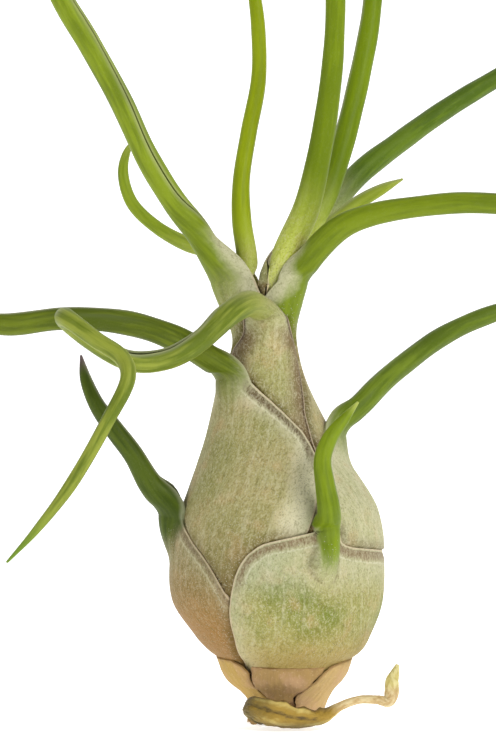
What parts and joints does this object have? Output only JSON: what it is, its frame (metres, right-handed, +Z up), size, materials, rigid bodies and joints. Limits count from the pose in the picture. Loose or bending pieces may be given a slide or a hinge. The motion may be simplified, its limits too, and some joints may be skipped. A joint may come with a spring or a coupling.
{
  "type": "air plant",
  "caption": "Bulbous air plant standing upright on its dried foot, with leaf sheaths wrapped into a round bulb and narrow rolled leaves that arch and curl outwards.",
  "frame": {"origin": "centre of the flat spot under the short woody stem, on the surface the plant stands on", "axes": "+Z up along the bulb and the tall middle leaves, -Y towards the viewer of the picture, +X to the viewer's right"},
  "size_m": [0.1346, 0.1067, 0.1602],
  "materials": {
    "green_leaf": "satin",
    "young_leaf": "satin",
    "dry_sheath": "matte",
    "withered_leaf": "matte",
    "woody_stem": "matte"
  },
  "bodies": {
    "root": {"leaf_low_right": "green_leaf", "leaf_low_left": "green_leaf", "leaf_mid_left": "green_leaf", "leaf_mid_right": "green_leaf", "leaf_front": "green_leaf", "leaf_upper_left": "green_leaf", "leaf_upper_right": "green_leaf", "leaf_back_right": "green_leaf", "leaf_curl": "young_leaf", "leaf_tall_back": "young_leaf", "leaf_thin": "young_leaf", "leaf_short": "young_leaf", "leaf_tall_front": "young_leaf", "leaf_sprout": "young_leaf", "old_sheath_left": "dry_sheath", "old_sheath_right": "dry_sheath", "old_sheath_middle": "dry_sheath", "withered_leaf": "withered_leaf", "stem": "woody_stem"}
  },
  "joints": []
}
